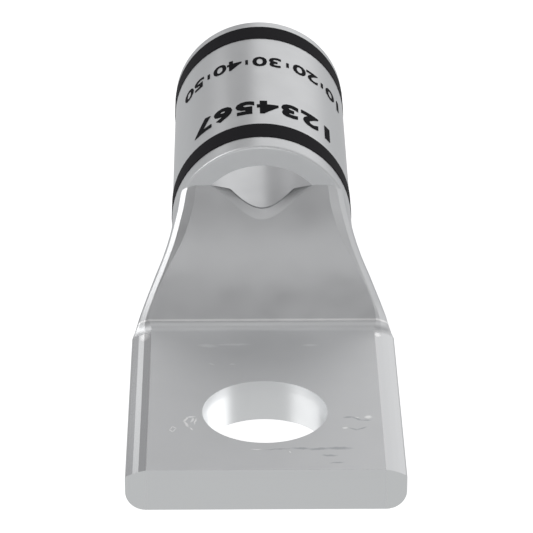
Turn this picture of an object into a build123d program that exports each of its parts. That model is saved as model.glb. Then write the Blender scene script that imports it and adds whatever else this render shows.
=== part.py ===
from build123d import *
from math import atan2, cos, degrees, hypot, pi, radians, sin, sqrt, tan
import os

# Compression cable lug, made from one length of tube whose front end is pressed flat.
# Millimetres. The origin is the centre of the stud hole on the contact face, the
# underside of the tongue. +Y runs along the barrel towards the wire entry, +Z is up.

# Tube
barrel_od = 14.8
wall = 1.7
barrel_lift = 0.1          # the barrel's underside stays just above the contact plane
cut_face_y = 23.44         # where the tube was cut through its top before pressing
barrel_length = 26.56      # from the cut face to the wire entry
cut_edge_round = 0.2
entry_round = 0.35
entry_chamfer = 0.5

# Tongue
tongue_width = 21.0
tongue_front = 8.84        # from the stud hole's centre to the front edge
tongue_end_y = 13.0        # where the bend up to the neck begins
underside_round = 1.55
stud_hole_diameter = 9.6

# Three facets pressed along each long edge of the tongue, from its flat top outwards
inner_facet_tilt = 12.5    # degrees
middle_facet_run = 0.44
middle_facet_drop = 0.15
outer_facet_run = 0.43
outer_facet_drop = 0.21
edge_run = 0.14            # rounded from the outer facet to the upright side

# Neck
throat_chord = 12.5        # chord of the round tube at the height where the slope ends
throat_crease_x = 6.05     # between the inner and the middle facet, at the cut face
throat_rim_x = 6.5         # where the middle facet meets the round tube
bend_radius = 1.9
crown_rise = 0.2           # the inner facet runs on by this much above the top that ends it

# Plan of the neck. Each row has the share of its length, how far the sides and then the
# facets have drawn in from the tongue to the throat, and the run of the inner facet.
neck_plan = (
    (0.00, 0.000, 0.000, 0.59),
    (0.04, 0.045, 0.000, 0.55),
    (0.08, 0.085, 0.003, 0.45),
    (0.12, 0.120, 0.015, 0.34),
    (0.17, 0.165, 0.064, 0.24),
    (0.23, 0.228, 0.144, 0.17),
    (0.30, 0.312, 0.238, 0.14),
    (0.40, 0.430, 0.384, 0.19),
    (0.50, 0.555, 0.517, 0.36),
    (0.60, 0.690, 0.648, 0.57),
    (0.70, 0.812, 0.752, 0.73),
    (0.80, 0.912, 0.842, 0.80),
    (0.90, 0.978, 0.922, 0.78),
    (1.00, 1.000, 1.000, 0.70),
)

# Throat lip, the coined end of the pressed-down top wall
lip_width = 10.0
lip_depth = 2.46           # how far the lip reaches back from the cut face
lip_face = 1.1             # the flat coined band along the lip
lip_roll = 0.3
lip_break = 12             # degrees between the neck's slope and the coined band
lip_corner = 0.06          # holds the coined band clear of the slope at its two ends
lip_stations = 8

# Inside of the neck, by the angle round the bore from the middle of its floor
slot_floor_angle = 60
slot_top_angle = 120

# Printed colour bands
print_thickness = 0.05
near_band_from_cut = 1.96
far_band_from_entry = 1.42
near_band_width = 2.52
far_band_width = 2.55

barrel_radius = barrel_od / 2
bore_radius = barrel_radius - wall
axis_z = barrel_radius + barrel_lift
tongue_thickness = 2 * wall
half_width = tongue_width / 2
neck_length = cut_face_y - tongue_end_y

# The lines between the facets on the tongue
tongue_rim_x = half_width - edge_run - outer_facet_run
tongue_crease_x = tongue_rim_x - middle_facet_run
inner_slant = tan(radians(inner_facet_tilt))
rim_z = tongue_thickness - neck_plan[0][3] * inner_slant - middle_facet_drop
outer_tilt = atan2(outer_facet_drop, outer_facet_run)
edge_drop = edge_run * cos(outer_tilt) / (1 - sin(outer_tilt))
side_top = rim_z - outer_facet_drop - edge_drop

# Where the slope and the middle facets meet the round tube at the cut face
throat_z = axis_z + sqrt(barrel_radius**2 - (throat_chord / 2) ** 2)
throat_rim_angle = degrees(pi / 2 + atan2(sqrt(barrel_radius**2 - throat_rim_x**2), throat_rim_x))
throat_sagitta = barrel_radius * (1 - cos(radians(throat_rim_angle - 90) / 4))


def slope_for(bend_y):
    return atan2(throat_z - tongue_thickness, cut_face_y - bend_y)


bend_y = tongue_end_y
for _ in range(20):
    bend_y = tongue_end_y + bend_radius * tan(slope_for(bend_y) / 2)
slope = slope_for(bend_y)


def across(y):
    return Plane(origin=(0, y, 0), x_dir=(1, 0, 0), z_dir=(0, -1, 0))


def blend(start, end, share):
    return start + (end - start) * share


def top_height(y):
    # Height of the flat top, then of the bend, then of the neck's slope.
    into_bend = y - tongue_end_y
    if into_bend <= 0:
        return tongue_thickness
    if into_bend < bend_radius * sin(slope):
        return tongue_thickness + bend_radius - sqrt(bend_radius**2 - into_bend**2)
    return throat_z - (cut_face_y - y) * tan(slope)


def round_point(radius, angle):
    # A point on the round tube, at an angle from the middle of its underside.
    return (radius * sin(radians(angle)), axis_z - radius * cos(radians(angle)))


def bowed(start, end, sagitta):
    # An arc that stands out from its chord by the sagitta.
    run, drop = end[0] - start[0], start[1] - end[1]
    length = hypot(run, drop)
    middle_x = (start[0] + end[0]) / 2 + sagitta * drop / length
    middle_z = (start[1] + end[1]) / 2 + sagitta * run / length
    return ThreePointArc(start, (middle_x, middle_z), end)


def lower_points(share, sides_in):
    # Each point of the flat tongue goes to the point of the round tube that lies as far
    # round it from the middle of the underside.
    flat_run = half_width - underside_round
    corner_run = underside_round * pi / 2
    turn = 90 / (flat_run + corner_run + side_top - underside_round)
    floor_angle = turn * flat_run
    side_angle = turn * (flat_run + corner_run)
    corner_mid = underside_round * (1 - sqrt(0.5))
    pairs = {
        "floor": ((flat_run, 0), floor_angle),
        "corner": ((half_width - corner_mid, corner_mid), (floor_angle + side_angle) / 2),
        "side": ((half_width, underside_round), side_angle),
        "flank": ((half_width, (underside_round + side_top) / 2), (side_angle + 90) / 2),
        "edge": ((half_width, side_top), 90),
    }
    points = {}
    for name, (flat, angle) in pairs.items():
        x, z = round_point(barrel_radius, angle)
        points[name] = (blend(flat[0], x, sides_in), blend(flat[1], z, share))
    return points


def brow_fractions(share):
    # Where the outer facet ends, as shares of the run and the drop from the rim to the edge.
    rim = round_point(barrel_radius, throat_rim_angle)
    brow = round_point(barrel_radius, (90 + throat_rim_angle) / 2)
    throat_run = (brow[0] - rim[0]) / (barrel_radius - rim[0])
    throat_drop = (rim[1] - brow[1]) / (rim[1] - axis_z)
    tongue_run = outer_facet_run / (outer_facet_run + edge_run)
    tongue_drop = outer_facet_drop / (outer_facet_drop + edge_drop)
    return blend(tongue_run, throat_run, share), blend(tongue_drop, throat_drop, share)


def neck_section(share, sides_in, facets_in, inner_run):
    # Outline across the lug at a station of the neck. Its facets keep to the top's height, and
    # the inner ones run on above it, where the tongue's top or the slope ends them.
    at = lower_points(share, sides_in)
    top = top_height(blend(tongue_end_y, cut_face_y, share))
    crease = (blend(tongue_crease_x, throat_crease_x, facets_in), top - inner_run * inner_slant)
    crown = (crease[0] - inner_run - crown_rise / inner_slant, top + crown_rise)
    throat_rim = round_point(barrel_radius, throat_rim_angle)
    throat_drop = throat_z - neck_plan[-1][3] * inner_slant - throat_rim[1]
    rim_x = blend(tongue_rim_x, throat_rim_x, facets_in)
    rim = (rim_x, crease[1] - blend(middle_facet_drop, throat_drop, share))
    run, drop = brow_fractions(share)
    brow = (blend(rim[0], at["edge"][0], run), blend(rim[1], at["edge"][1], drop))
    left_floor = (-at["floor"][0], at["floor"][1])
    if share == 0:
        floor = Line(left_floor, at["floor"])
        side = Line(at["side"], at["edge"])
        outer_facet = Line(brow, rim)
    else:
        floor = ThreePointArc(left_floor, (0, barrel_lift * share), at["floor"])
        side = ThreePointArc(at["side"], at["flank"], at["edge"])
        outer_facet = bowed(rim, brow, throat_sagitta * share)
    right = [
        ThreePointArc(at["floor"], at["corner"], at["side"]),
        side,
        TangentArc(at["edge"], brow, tangent=(0, 1)),
        outer_facet,
        Line(rim, crease),
        Line(crease, crown),
    ]
    left = [edge.mirror(Plane.YZ) for edge in right]
    across_top = Line(crown, (-crown[0], crown[1]))
    return make_face([floor, *right, across_top, *left])


def cavity_section(share, sides_in, *facets):
    # The inside of the neck, from a slot as high as one wall to the round bore.
    slot_half = half_width - wall
    pairs = {
        "floor": ((slot_half - wall / 2, wall), slot_floor_angle),
        "flank": ((slot_half, wall * 1.5), 90),
        "top": ((slot_half - wall / 2, 2 * wall), slot_top_angle),
    }
    at = {}
    for name, (flat, angle) in pairs.items():
        x, z = round_point(bore_radius, angle)
        at[name] = (blend(flat[0], x, sides_in), blend(flat[1], z, share))
    ends = {name: (-x, z) for name, (x, z) in at.items()}
    if share == 0:
        floor = Line(ends["floor"], at["floor"])
        top = Line(at["top"], ends["top"])
    else:
        floor_mid = blend(wall, axis_z - bore_radius, share)
        top_mid = blend(2 * wall, axis_z + bore_radius, share)
        floor = ThreePointArc(ends["floor"], (0, floor_mid), at["floor"])
        top = ThreePointArc(at["top"], (0, top_mid), ends["top"])
    right = ThreePointArc(at["floor"], at["flank"], at["top"])
    return make_face([floor, right, top, right.mirror(Plane.YZ)])


def neck_loft(section):
    stations = []
    for row in neck_plan:
        y = blend(tongue_end_y, cut_face_y, row[0])
        stations.append(across(y) * section(*row))
    return loft(stations)


def under_top(depth):
    # What lies below the tongue's top, the bend and the neck's slope, less a depth of wall.
    reach = cut_face_y + barrel_length
    low = -barrel_od
    high = throat_z + tan(slope) * (reach - cut_face_y)
    front = -tongue_front - tongue_thickness
    profile = Polyline(
        (front, tongue_thickness),
        (bend_y, tongue_thickness),
        (reach, high),
        (reach, low),
        (front, low),
        close=True,
    )
    side_view = make_face(profile)
    corner = side_view.vertices().sort_by_distance((bend_y, tongue_thickness))[0]
    side_view = fillet(corner, bend_radius)
    block = extrude(Plane.YZ * side_view, amount=barrel_od, both=True)
    return Pos(0, depth * sin(slope), -depth * cos(slope)) * block


def above_lip():
    # What the lip leaves clear. From the side it is a flat coined band, a roll and an upright
    # end. That profile slides down the slope along a cosine, furthest in the lug's middle.
    tilt = slope - radians(lip_break)
    behind = cut_face_y + 2 * lip_face
    over = throat_z + lip_face
    sections = []
    for i in range(-lip_stations, lip_stations + 1):
        share = i / lip_stations
        back = lip_depth * (1 + cos(pi * share)) / 2 - lip_corner
        start = Vector(cut_face_y - back, throat_z - back * tan(slope))
        band_end = start + Vector(cos(tilt), sin(tilt)) * lip_face
        centre = band_end + Vector(sin(tilt), -cos(tilt)) * lip_roll
        foot = (centre.X + lip_roll, axis_z)
        roll = CenterArc((centre.X, centre.Y), lip_roll, 0, 90 + degrees(tilt))
        ring = [
            Line(start, band_end),
            roll,
            Line(roll @ 0, foot),
            Line(foot, (behind, axis_z)),
            Line((behind, axis_z), (behind, over)),
            Line((behind, over), (start.X, over)),
            Line((start.X, over), start),
        ]
        side = Plane(origin=(lip_width / 2 * share, 0, 0), x_dir=(0, 1, 0), z_dir=(1, 0, 0))
        sections.append(side * make_face(ring))
    return loft(sections)


def make_neck():
    outside = neck_loft(neck_section) & under_top(0)
    inside = neck_loft(cavity_section) & under_top(wall)
    return outside - inside - above_lip()


def make_tongue():
    section = across(tongue_end_y) * neck_section(*neck_plan[0])
    return extrude(section, amount=tongue_end_y + tongue_front) & under_top(0)


def make_barrel():
    # The tube behind the cut face, with its bore chamfered at the wire entry.
    blank = Cylinder(barrel_radius, barrel_length, align=(Align.CENTER, Align.CENTER, Align.MIN))
    blank = fillet(blank.edges().sort_by(Axis.Z)[0], cut_edge_round)
    blank = fillet(blank.edges().sort_by(Axis.Z)[-1], entry_round)
    bore = Cylinder(bore_radius, barrel_length, align=(Align.CENTER, Align.CENTER, Align.MIN))
    tube = blank - bore
    circles = tube.edges().filter_by(GeomType.CIRCLE)
    mouths = circles.filter_by(lambda edge: abs(edge.radius - bore_radius) < 1e-6)
    tube = chamfer(mouths.sort_by(Axis.Z)[-1], entry_chamfer)
    return Location((0, cut_face_y, axis_z), (-90, 0, 0)) * tube


def make_root():
    # Below the outer facets the neck runs on into the tube past its rounded cut edge.
    length = 2 * cut_edge_round
    disc = Cylinder(barrel_radius, length, align=(Align.CENTER, Align.CENTER, Align.MIN))
    bore = Cylinder(bore_radius, length, align=(Align.CENTER, Align.CENTER, Align.MIN))
    above = Pos(0, -sqrt(barrel_radius**2 - throat_rim_x**2) - barrel_radius, length / 2) * Box(
        barrel_od, barrel_od, 2 * length
    )
    return Location((0, cut_face_y, axis_z), (-90, 0, 0)) * (disc - bore - above)


def make_lug():
    body = make_tongue() + make_neck() + make_root() + make_barrel()
    hole = Cylinder(stud_hole_diameter / 2, 4 * tongue_thickness)
    return body - hole


def make_band(start, width):
    ring = Cylinder(barrel_radius + print_thickness, width) - Cylinder(barrel_radius, width)
    return Location((0, cut_face_y + start + width / 2, axis_z), (-90, 0, 0)) * ring


far_band_from_cut = barrel_length - far_band_from_entry - far_band_width

parts = {
    "lug_body": make_lug(),
    "band_near_throat": make_band(near_band_from_cut, near_band_width),
    "band_wire_end": make_band(far_band_from_cut, far_band_width),
}

os.makedirs("parts", exist_ok=True)
for name, part in parts.items():
    export_step(part, f"parts/{name}.step")
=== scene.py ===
import math

import bpy
from mathutils import Matrix, Vector


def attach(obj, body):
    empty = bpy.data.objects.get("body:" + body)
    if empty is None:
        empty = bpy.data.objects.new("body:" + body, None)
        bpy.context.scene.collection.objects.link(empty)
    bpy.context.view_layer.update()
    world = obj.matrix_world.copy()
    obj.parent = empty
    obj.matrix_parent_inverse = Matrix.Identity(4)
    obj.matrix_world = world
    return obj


mm = 0.001
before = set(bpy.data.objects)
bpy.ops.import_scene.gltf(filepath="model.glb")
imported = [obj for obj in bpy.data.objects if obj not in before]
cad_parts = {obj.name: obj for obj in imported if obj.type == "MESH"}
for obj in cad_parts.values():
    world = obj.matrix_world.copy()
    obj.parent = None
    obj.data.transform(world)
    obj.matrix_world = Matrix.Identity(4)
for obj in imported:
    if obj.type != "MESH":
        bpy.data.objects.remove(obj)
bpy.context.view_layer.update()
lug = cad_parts["lug_body"]
bands = [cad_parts["band_near_throat"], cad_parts["band_wire_end"]]
bpy.ops.object.select_all(action="DESELECT")
scene = bpy.context.scene
scene.view_settings.view_transform = "Standard"  # keeps the white backdrop white
print("frame loaded")


def linear(hexColour):
    # sRGB hex to the linear values that Blender works in
    values = [int(hexColour[i:i + 2], 16) / 255 for i in (1, 3, 5)]
    return [v / 12.92 if v <= 0.04045 else ((v + 0.055) / 1.055) ** 2.4 for v in values] + [1]


def addNode(tree, kind, settings=None):
    # its options by name, and its sockets by name or number: a value, a hex colour, or what feeds it
    # (a Mix node's colours go into 6 and 7 and come out of 2, its plain numbers go into 2 and 3)
    node = tree.nodes.new(kind)
    for name, value in (settings or {}).items():
        if isinstance(name, str) and hasattr(node, name):
            setattr(node, name, value)
        elif isinstance(value, bpy.types.NodeSocket):
            tree.links.new(value, node.inputs[name])
        elif isinstance(value, str):
            node.inputs[name].default_value = linear(value)
        else:
            node.inputs[name].default_value = value
    return node


def addRegion(tree, places, fades):
    # 1 inside the region and 0 outside: each fade runs from 0 at its first place to 1 at its second
    share = None
    for along, start, end in fades:
        fade = addNode(tree, "ShaderNodeMapRange", {
            "Value": places[along], "From Min": start, "From Max": end,
        }).outputs[0]
        if share is None:
            share = fade
        else:
            both = addNode(tree, "ShaderNodeMath", {"operation": "MULTIPLY", 0: share, 1: fade})
            share = both.outputs[0]
    return share


def newMaterial(name):
    material = bpy.data.materials.new(name)
    material.use_nodes = True
    material.node_tree.nodes.clear()
    return material, material.node_tree


def giveMaterial(piece, material):
    piece.data.materials.clear()
    piece.data.materials.append(material)


# camera, at the height and distance that the photo's perspective gives

cameraSetup = {
    "position": (-2.630, -218.680, 126.610),  # mm
    "target": (0.036, -5.344, 18.547),
    "roll": 0.108,  # degrees
    "lens": 221.19,
    "sensor": 36,
    "clip": (0.01, 10),  # m
}


def addCamera():
    position = Vector(cameraSetup["position"]) * mm
    forward = (Vector(cameraSetup["target"]) * mm - position).normalized()
    right = forward.cross(Vector((0, 0, 1))).normalized()
    up = right.cross(forward)
    turn = Matrix.Rotation(-math.radians(cameraSetup["roll"]), 3, forward)
    facing = Matrix((turn @ right, turn @ up, -forward)).transposed().to_4x4()
    bpy.ops.object.camera_add()
    camera = bpy.context.object
    camera.matrix_world = Matrix.Translation(position) @ facing
    camera.data.lens = cameraSetup["lens"]
    camera.data.sensor_width = cameraSetup["sensor"]
    camera.data.clip_start, camera.data.clip_end = cameraSetup["clip"]
    camera.data.dof.use_dof = False
    scene.camera = camera


addCamera()
print("camera placed")

# studio: a lit white table under the lug, grey surroundings and soft panels around it

studio = {
    "floorSize": 8.0,
    "floorDrop": 0.02 * mm,  # keeps the table's face off the tongue's underside
    "floorColour": "#989898",
    "floorGlow": 0.95,
    "backdrop": "#FFFFFF",
    "zenith": "#8A8A8B",
    "horizon": "#B2B2B3",
    "belowBehind": "#C5C6C7",
    "belowInFront": "#D8D9D9",
    "highLeft": "#4C4C4D",
    # on a ball round the lug, of radius 1
    "regions": {
        "overhead": (("z", 0.3, 0.9),),
        "inFront": (("y", 0.5, -0.5),),
        "aboveTable": (("z", -0.12, 0.12),),
        "highLeft": (("x", -0.10, -0.42), ("z", 0.5, 0.7)),
    },
    "aim": (0, 0.02, 0.006),
    # azimuth from +Y towards +X and elevation in degrees, distance, width and height in metres, radiance
    "panels": {
        "backPanel": (29, 22, 1.0, 1.16, 0.70, 0.44),
        "overheadPanel": (15, 84, 1.0, 1.4, 0.34, 0.47),
        "frontTopPanel": (180, 54, 1.0, 0.7, 0.30, 1.16),
        "backTopPanel": (0, 54, 1.0, 0.40, 0.30, 0.45),
        "frontPanel": (180, 18, 1.4, 0.80, 0.50, 1.05),
        "leftPanel": (-88, 42, 0.9, 0.62, 0.44, 1.9),
        "leftCornerPanel": (-45, 46, 1.0, 0.42, 0.34, 2.3),
        "leftEdgePanel": (-25, 21, 0.285, 0.045, 0.036, 0.58),
        "rightPanel": (90, 44, 1.0, 0.74, 0.72, 0.42),
        "underLeftPanel": (-95, -29, 1.0, 1.2, 0.4, 0.65),
        "underRightPanel": (80, -29, 1.0, 1.0, 0.4, 1.2),
    },
}


def addFloor():
    bpy.ops.mesh.primitive_plane_add(size=studio["floorSize"], location=(0, 0, -studio["floorDrop"]))
    bpy.ops.object.transform_apply(location=True)
    floor = bpy.context.object
    floor.name = "studioFloor"
    # acrylic sheet lit from behind: plain white under the lug, with no edge of shadow,
    # and clear when seen from below, so that the underside shows
    material, tree = newMaterial("litAcrylicTable")
    sheet = addNode(tree, "ShaderNodeBsdfDiffuse", {"Color": studio["floorColour"]})
    glow = addNode(tree, "ShaderNodeEmission", {"Color": studio["backdrop"], "Strength": studio["floorGlow"]})
    fromAbove = addNode(tree, "ShaderNodeAddShader", {0: sheet.outputs[0], 1: glow.outputs[0]})
    fromBelow = addNode(tree, "ShaderNodeBsdfTransparent")
    side = addNode(tree, "ShaderNodeNewGeometry")
    table = addNode(tree, "ShaderNodeMixShader", {
        0: side.outputs["Backfacing"], 1: fromAbove.outputs[0], 2: fromBelow.outputs[0],
    })
    addNode(tree, "ShaderNodeOutputMaterial", {"Surface": table.outputs[0]})
    giveMaterial(floor, material)
    floor.visible_glossy = floor.visible_shadow = False  # the metal mirrors the soft surround instead


def addSurround():
    # grey overhead, darkest high on the left, brighter below and brightest below in front
    world = bpy.data.worlds.new("studioSurround")
    scene.world = world
    world.use_nodes = True
    tree = world.node_tree
    tree.nodes.clear()
    direction = addNode(tree, "ShaderNodeTexCoord")
    split = addNode(tree, "ShaderNodeSeparateXYZ", {"Vector": direction.outputs["Generated"]})
    places = {"x": split.outputs["X"], "y": split.outputs["Y"], "z": split.outputs["Z"]}
    share = {name: addRegion(tree, places, fades) for name, fades in studio["regions"].items()}
    sky = addNode(tree, "ShaderNodeMix", {
        "data_type": "RGBA", 0: share["overhead"], 6: studio["horizon"], 7: studio["zenith"],
    })
    ground = addNode(tree, "ShaderNodeMix", {
        "data_type": "RGBA", 0: share["inFront"], 6: studio["belowBehind"], 7: studio["belowInFront"],
    })
    allRound = addNode(tree, "ShaderNodeMix", {
        "data_type": "RGBA", 0: share["aboveTable"], 6: ground.outputs[2], 7: sky.outputs[2],
    })
    mirrored = addNode(tree, "ShaderNodeMix", {
        "data_type": "RGBA", 0: share["highLeft"], 6: allRound.outputs[2], 7: studio["highLeft"],
    })
    ray = addNode(tree, "ShaderNodeLightPath")
    seen = addNode(tree, "ShaderNodeMix", {
        "data_type": "RGBA", 0: ray.outputs["Is Camera Ray"], 6: mirrored.outputs[2], 7: studio["backdrop"],
    })
    background = addNode(tree, "ShaderNodeBackground", {"Color": seen.outputs[2], "Strength": 1.0})
    addNode(tree, "ShaderNodeOutputWorld", {"Surface": background.outputs[0]})


def addPanel(name, azimuth, elevation, distance, width, height, radiance):
    # an area light that faces the lug, its power worked out from the brightness of its face
    turn, lift = math.radians(azimuth), math.radians(elevation)
    outward = Vector((math.sin(turn) * math.cos(lift), math.cos(turn) * math.cos(lift), math.sin(lift)))
    bpy.ops.object.light_add(type="AREA", location=Vector(studio["aim"]) + outward * distance)
    panel = bpy.context.object
    panel.name = name
    panel.rotation_euler = outward.to_track_quat("Z", "Y").to_euler()
    panel.data.shape = "RECTANGLE"
    panel.data.size, panel.data.size_y = width, height
    panel.data.energy = radiance * math.pi * width * height
    panel.visible_camera = False


addFloor()
addSurround()
for panelName, panelPlace in studio["panels"].items():
    addPanel(panelName, *panelPlace)
print("studio lit")

# tin plate on drawn copper tube

plate = {
    "colour": "#DADBDC",
    "paleKnockAndPaintedGlint": "#FFFFFF",
    "faintFleck": "#E8E9EA",
    "darkFleck": "#BDBFC2",
    # painted light: the hole's wall is coloured lighter than the plating
    "holeWallPaintedLighter": "#E3E4E5",
    # painted highlight along the bend's line
    "bendRidgeAndHighlight": "#FFFFFF",
    "roughness": 0.34,
    "faceRoughness": 0.39,  # the flat die leaves the washer face duller than the tube
    "stripRoughness": 0.15,  # the die burnished the strips along the tongue's edges
    "cutRoughness": 0.43,
    # in mm, along x, y and z, outward from the middle and away from the hole's axis
    "regions": {
        "washerFace": (("z", 2.55, 2.65), ("z", 3.55, 3.45), ("y", 14.3, 13.6)),
        "strip": (("outward", 8.90, 8.96), ("y", 13.2, 12.8)),
        "cutFace": (("y", 23.35, 23.41), ("y", 23.73, 23.67)),
        "upperSide": (("z", 2.8, 2.9),),
        # the hole's wall, painted lighter
        "holeWallPaintedLighter": (("fromHole", 4.84, 4.82),),
        # the bend's raised line, which also carries the painted highlight
        "bendRidgeAndHighlight": (("y", 14.12, 14.20), ("y", 14.32, 14.24), ("z", 3.3, 3.5)),
    },
    "mottleSize": 2.2,  # mm
    "mottleDetail": 3.0,
    "mottleRange": (0.3, 0.7),  # of the noise, where most of it lies
    "mottleDepth": 0.03,  # of roughness
    "drawnLine": (0.25, 8.33, 0.25),  # mm along x, y and z, coarser than real ones, which would not show
    "drawnLineDetail": 2.0,
    "drawnLineHeight": 0.0006,
    "slopeSag": (14.2, 23.0, -0.264),  # start, end and fall in mm
    "slopeSwell": (15.7, 22.0, 0.45),  # start, end and rise
    "bendLineHeight": 0.004,
}

# small knocks on the washer face, and two painted highlights at the tongue's corners by the bend, each from
# one end to the other, then its width, in mm
knocksAndGlints = {
    "paleKnockAndPaintedGlint": (
        ((-5.25, -0.60), (-5.80, -0.72), 0.24),
        ((-5.75, -0.70), (-6.08, -1.40), 0.28),
        ((-6.05, -1.30), (-5.70, -2.25), 0.28),
        ((-5.38, -0.80), (-5.48, -1.50), 0.22),
        ((-5.15, -0.92), (-5.26, -1.85), 0.20),
        ((-5.60, -2.35), (-5.42, -2.68), 0.18),
        ((-7.10, -2.65), (-6.93, -2.08), 0.11),
        ((-6.95, -2.10), (-6.62, -2.50), 0.11),
        ((-6.62, -2.45), (-6.92, -3.02), 0.11),
        ((-6.90, -3.00), (-7.12, -2.60), 0.11),
        ((7.90, -0.81), (8.10, -0.81), 0.56),
        ((7.02, -0.93), (7.18, -0.93), 0.32),
        ((6.10, -2.45), (6.32, -2.46), 0.34),
        ((-0.97, -5.66), (-0.20, -5.66), 0.14),
        ((1.90, -5.95), (1.98, -6.15), 0.16),
        # the last two are painted highlights, where the die's corners turn up into the bend
        ((-9.35, 12.20), (-9.35, 13.00), 0.90),  # painted highlight
        ((9.26, 12.50), (9.30, 12.75), 0.62),
    ),
    "faintFleck": (
        ((-4.86, 10.87), (-3.74, 10.70), 0.72),
        ((-3.74, 10.94), (-0.84, 11.00), 0.42),
        ((-4.13, 7.83), (-3.80, 7.63), 0.30),
        ((-2.50, 7.70), (-2.24, 7.70), 0.30),
        ((3.30, 10.80), (4.30, 10.85), 0.50),
    ),
    "darkFleck": (
        ((-0.10, -5.74), (2.30, -5.52), 0.17),
        ((2.10, -5.51), (3.50, -5.56), 0.34),
        ((3.38, -5.69), (4.90, -5.56), 0.46),
        ((4.60, -5.53), (6.60, -5.55), 0.52),
        ((4.35, -6.57), (5.45, -6.63), 0.34),
        ((4.94, -7.73), (5.93, -7.61), 0.26),
        ((6.16, -0.86), (6.85, -0.78), 0.30),
        ((6.75, -0.80), (7.45, -1.32), 0.28),
        ((7.40, -1.32), (8.20, -1.30), 0.22),
        ((6.50, -2.46), (7.15, -2.80), 0.26),
        ((7.05, -2.80), (7.80, -2.34), 0.26),
    ),
}
streakEdge = {
    "wander": 0.12,  # mm
    "wanderSize": 0.35,  # mm
    "wanderDetail": 2.0,
    "fullWithin": 0.4,  # of the half width
}


def addStreaks(tree, place, marks):
    # 1 in the middle of each long thin mark, knock and painted highlight alike, 0 past its edge
    share = None
    for start, end, width in marks:
        run, rise = end[0] - start[0], end[1] - start[1]
        onStreak = addNode(tree, "ShaderNodeMapping", {
            "vector_type": "TEXTURE",
            "Vector": place,
            "Location": ((start[0] + end[0]) / 2, (start[1] + end[1]) / 2, 0),
            "Rotation": (0, 0, math.atan2(rise, run)),
            "Scale": ((math.hypot(run, rise) + width) / 2, width / 2, 1),
        })
        reach = addNode(tree, "ShaderNodeVectorMath", {"operation": "LENGTH", 0: onStreak.outputs[0]})
        streak = addNode(tree, "ShaderNodeMapRange", {
            "Value": reach.outputs["Value"], "From Min": 1.0, "From Max": streakEdge["fullWithin"],
        }).outputs[0]
        if share is None:
            share = streak
        else:
            either = addNode(tree, "ShaderNodeMath", {"operation": "MAXIMUM", 0: share, 1: streak})
            share = either.outputs[0]
    return share


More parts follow.
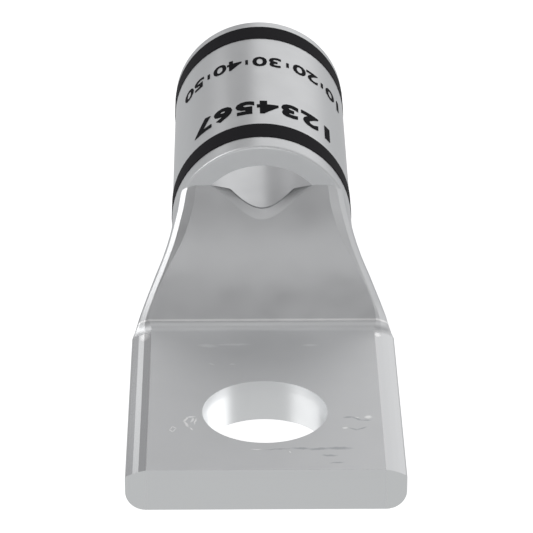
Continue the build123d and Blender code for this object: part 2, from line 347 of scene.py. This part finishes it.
def tinPlate():
    # tin electroplated on drawn copper: a soft silver grey that blurs what it mirrors, a little uneven,
    # with faint lines along the tube, sharper where the die burnished it, painted highlights on the bend's
    # line and on the tongue's corners by the bend, and the hole's wall painted lighter
    material, tree = newMaterial("electroplatedTin")
    coordinates = addNode(tree, "ShaderNodeTexCoord")
    inMm = addNode(tree, "ShaderNodeVectorMath", {
        "operation": "SCALE", 0: coordinates.outputs["Object"], "Scale": 1 / mm,
    }).outputs[0]
    split = addNode(tree, "ShaderNodeSeparateXYZ", {"Vector": inMm})
    x, y, z = (split.outputs[axis] for axis in "XYZ")
    outward = addNode(tree, "ShaderNodeMath", {"operation": "ABSOLUTE", 0: x})
    flat = addNode(tree, "ShaderNodeCombineXYZ", {"X": x, "Y": y}).outputs[0]
    fromHole = addNode(tree, "ShaderNodeVectorMath", {"operation": "LENGTH", 0: flat})
    places = {"x": x, "y": y, "z": z, "outward": outward.outputs[0], "fromHole": fromHole.outputs["Value"]}
    share = {name: addRegion(tree, places, fades) for name, fades in plate["regions"].items()}

    # the washer face is duller, the plating mottled, the strips burnished and the cut face rough
    cloudy = addNode(tree, "ShaderNodeTexNoise", {
        "Vector": inMm, "Scale": 1 / plate["mottleSize"], "Detail": plate["mottleDetail"],
    })
    mottle = addNode(tree, "ShaderNodeMapRange", {
        "Value": cloudy.outputs["Fac"],
        "From Min": plate["mottleRange"][0],
        "From Max": plate["mottleRange"][1],
        "To Min": -plate["mottleDepth"],
        "To Max": plate["mottleDepth"],
    })
    pressed = addNode(tree, "ShaderNodeMix", {
        "data_type": "FLOAT", 0: share["washerFace"], 2: plate["roughness"], 3: plate["faceRoughness"],
    })
    roughness = addNode(tree, "ShaderNodeMath", {
        "operation": "ADD", 0: pressed.outputs[0], 1: mottle.outputs[0],
    }).outputs[0]
    for region, value in (("strip", plate["stripRoughness"]), ("cutFace", plate["cutRoughness"])):
        roughness = addNode(tree, "ShaderNodeMix", {
            "data_type": "FLOAT", 0: share[region], 2: roughness, 3: value,
        }).outputs[0]

    # knocks and two painted highlights with wandering edges, on the upper side alone, then the hole's wall
    # painted lighter and the bend's line as a painted highlight
    ragged = addNode(tree, "ShaderNodeTexNoise", {
        "Vector": inMm, "Scale": 1 / streakEdge["wanderSize"], "Detail": streakEdge["wanderDetail"],
    })
    wandering = addNode(tree, "ShaderNodeVectorMath", {
        "operation": "MULTIPLY_ADD",
        0: ragged.outputs["Color"],
        1: (2 * streakEdge["wander"], 2 * streakEdge["wander"], 0),
        2: flat,
    }).outputs[0]
    for name, marks in knocksAndGlints.items():
        share[name] = addNode(tree, "ShaderNodeMath", {
            "operation": "MULTIPLY", 0: share["upperSide"], 1: addStreaks(tree, wandering, marks),
        }).outputs[0]
    colour = plate["colour"]
    for name in (*knocksAndGlints, "holeWallPaintedLighter", "bendRidgeAndHighlight"):
        colour = addNode(tree, "ShaderNodeMix", {
            "data_type": "RGBA", 0: share[name], 6: colour, 7: plate[name],
        }).outputs[2]

    # the slope sags and then swells towards the throat, the bend stands up, and drawing left lines
    sagStart, sagEnd, fall = plate["slopeSag"]
    swellStart, swellEnd, rise = plate["slopeSwell"]
    sag = addNode(tree, "ShaderNodeMapRange", {
        "Value": y, "From Min": sagStart, "From Max": sagEnd, "To Max": fall,
    })
    swell = addNode(tree, "ShaderNodeMapRange", {
        "interpolation_type": "SMOOTHSTEP", "Value": y,
        "From Min": swellStart, "From Max": swellEnd, "To Max": rise,
    })
    drawn = addNode(tree, "ShaderNodeVectorMath", {
        "operation": "MULTIPLY", 0: inMm, 1: [1 / size for size in plate["drawnLine"]],
    })
    lines = addNode(tree, "ShaderNodeTexNoise", {
        "Vector": drawn.outputs[0], "Scale": 1.0, "Detail": plate["drawnLineDetail"],
    })
    slope = addNode(tree, "ShaderNodeMath", {"operation": "ADD", 0: sag.outputs[0], 1: swell.outputs[0]})
    bent = addNode(tree, "ShaderNodeMath", {
        "operation": "MULTIPLY_ADD", 0: share["bendRidgeAndHighlight"], 1: plate["bendLineHeight"], 2: slope.outputs[0],
    })
    height = addNode(tree, "ShaderNodeMath", {
        "operation": "MULTIPLY_ADD", 0: lines.outputs["Fac"], 1: plate["drawnLineHeight"], 2: bent.outputs[0],
    })
    bump = addNode(tree, "ShaderNodeBump", {"Strength": 1.0, "Distance": mm, "Height": height.outputs[0]})
    shader = addNode(tree, "ShaderNodeBsdfPrincipled", {
        "Metallic": 1.0, "Base Color": colour, "Roughness": roughness, "Normal": bump.outputs[0],
    })
    addNode(tree, "ShaderNodeOutputMaterial", {"Surface": shader.outputs[0]})
    return material


# printing ink, dried flat: rolled on for the bands, an even soft black,
# and screen-printed for the numbers, a shade deeper; neither shines at a glancing view
inks = {
    "rolledBandInk": "#1C1B1E",
    "screenPrintedInk": "#0E0E12",
    "roughness": 0.6,
    "specular": 0.04,
}


def printingInk(name):
    material, tree = newMaterial(name)
    shader = addNode(tree, "ShaderNodeBsdfPrincipled", {
        "Base Color": inks[name], "Roughness": inks["roughness"], "Specular IOR Level": inks["specular"],
    })
    addNode(tree, "ShaderNodeOutputMaterial", {"Surface": shader.outputs[0]})
    return material


giveMaterial(lug, tinPlate())
bandInk = printingInk("rolledBandInk")
for band in bands:
    giveMaterial(band, bandInk)
numberInk = printingInk("screenPrintedInk")
print("materials set")

# plain numbers round the barrel, between the bands

numberPrint = {
    "barrelRadius": 7.4,  # mm
    "barrelAxis": 7.5,  # mm up
    "inkAbove": 0.03,  # mm that the ink stands above the tube
    "inkDepth": 0.05,
    "inkSides": 192,  # of the ring that the marks are cut from
    "inkMerge": 0.003,
    "digitHeight": 0.682,  # of the built-in font, as a share of its size
    "digitSteps": 3,  # along each curve
    "uprightDepth": 0.8,  # of a mark before it is wrapped
    "uprightMerge": 0.001,
}
numberRows = {
    # arc in mm round the barrel from its top towards +X, where the first and the last mark are centred
    "barrelNumbers": {
        "marks": ("1", "2", "3", "4", "5", "6", "7"),
        "arc": (6.3, -5.2),
        "baseline": 32.6,
        "capHeight": 2.5,
        "weight": 0.15,  # mm that the font's outline is thickened by
        "stretch": 1.03,  # in width
        "crossing": ("6",),  # its bold outline crosses itself
        "tick": None,
    },
    "barrelTens": {
        "marks": ("10", "20", "30", "40", "50"),
        "arc": (7.8, -6.5),
        "baseline": 41.9,
        "capHeight": 1.9,
        "weight": 0.05,
        "stretch": 1.0,
        "crossing": (),
        "tick": (0.24, 0.9),  # width and height of the short line between two marks
    },
}


def selectOnly(*pieces):
    bpy.ops.object.select_all(action="DESELECT")
    for piece in pieces:
        piece.select_set(True)
    bpy.context.view_layer.objects.active = pieces[0]


def copyOf(piece):
    copy = piece.copy()
    copy.data = piece.data.copy()
    scene.collection.objects.link(copy)
    selectOnly(copy)
    return copy


def placeRound(mark, arc, y):
    # turns a flat mark to stand on the barrel, with its top towards the tongue
    angle = arc / numberPrint["barrelRadius"]
    across = numberPrint["barrelRadius"] * math.sin(angle)
    up = numberPrint["barrelAxis"] + numberPrint["barrelRadius"] * math.cos(angle)
    mark.rotation_euler = (0, -angle, math.pi)
    mark.location = (across, y, up)
    bpy.ops.object.transform_apply(location=True, rotation=True, scale=True)


def addDigits(body, row, arc):
    bpy.ops.object.text_add()
    mark = bpy.context.object
    mark.data.body = body
    mark.data.size = (row["capHeight"] - 2 * row["weight"]) / numberPrint["digitHeight"]
    mark.data.offset = row["weight"]
    mark.data.extrude = numberPrint["uprightDepth"] / 2
    mark.data.resolution_u = numberPrint["digitSteps"]
    mark.data.align_x = "CENTER"
    bpy.ops.object.convert(target="MESH")
    mark.scale.x = row["stretch"]
    bpy.ops.object.transform_apply(location=False, rotation=False, scale=True)
    bpy.ops.object.mode_set(mode="EDIT")
    bpy.ops.mesh.select_all(action="SELECT")
    bpy.ops.mesh.remove_doubles(threshold=numberPrint["uprightMerge"])
    bpy.ops.object.mode_set(mode="OBJECT")
    placeRound(mark, arc, row["baseline"] - row["weight"])
    return mark


def addTick(row):
    bpy.ops.mesh.primitive_cube_add(size=1)
    tick = bpy.context.object
    tick.scale = (*row["tick"], numberPrint["uprightDepth"])
    bpy.ops.object.transform_apply(location=False, rotation=False, scale=True)
    return tick


def addInkRing(row):
    # twice as wide as the marks are high, so that its ends stay clear of them
    middle = row["baseline"] - row["capHeight"] / 2
    bpy.ops.mesh.primitive_cylinder_add(
        vertices=numberPrint["inkSides"],
        radius=numberPrint["barrelRadius"] + numberPrint["inkAbove"],
        depth=2 * row["capHeight"],
        end_fill_type="NOTHING",
        location=(0, middle, numberPrint["barrelAxis"]),
        rotation=(math.pi / 2, 0, 0),
    )
    ring = bpy.context.object
    bpy.ops.object.transform_apply(location=True, rotation=True, scale=True)
    shell = ring.modifiers.new("inkDepth", "SOLIDIFY")
    shell.thickness, shell.offset = numberPrint["inkDepth"], -1
    bpy.ops.object.modifier_apply(modifier=shell.name)
    return ring


def wrapMark(mark, ring, crossing=False):
    # keeps the part of an upright mark that lies in the thin ring of ink
    printed = copyOf(ring)
    wrap = printed.modifiers.new("wrap", "BOOLEAN")
    wrap.operation, wrap.solver, wrap.object = "INTERSECT", "EXACT", mark
    wrap.use_self = crossing
    bpy.ops.object.modifier_apply(modifier=wrap.name)
    bpy.data.objects.remove(mark, do_unlink=True)
    return printed


def addNumberRow(name, row):
    first, last = row["arc"]
    step = (last - first) / (len(row["marks"]) - 1)
    ring = addInkRing(row)
    printed = []
    for i, body in enumerate(row["marks"]):
        mark = addDigits(body, row, first + step * i)
        printed.append(wrapMark(mark, ring, crossing=body in row["crossing"]))
    if row["tick"]:
        tick = addTick(row)
        for i in range(len(row["marks"]) - 1):
            mark = copyOf(tick)
            placeRound(mark, first + step * (i + 0.5), row["baseline"] - row["capHeight"] / 2)
            printed.append(wrapMark(mark, ring))
        bpy.data.objects.remove(tick, do_unlink=True)
    bpy.data.objects.remove(ring, do_unlink=True)

    selectOnly(*printed)
    bpy.ops.object.join()
    numbers = bpy.context.object
    bpy.ops.object.mode_set(mode="EDIT")
    bpy.ops.mesh.select_all(action="SELECT")
    bpy.ops.mesh.remove_doubles(threshold=numberPrint["inkMerge"])
    bpy.ops.mesh.dissolve_degenerate(threshold=numberPrint["inkMerge"])
    bpy.ops.mesh.normals_make_consistent(inside=False)
    bpy.ops.object.mode_set(mode="OBJECT")
    numbers.name = name
    numbers.scale = (mm, mm, mm)
    bpy.ops.object.transform_apply(location=True, rotation=True, scale=True)
    giveMaterial(numbers, numberInk)
    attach(numbers, "root")


for rowName, rowPlan in numberRows.items():
    addNumberRow(rowName, rowPlan)
print("numbers printed")
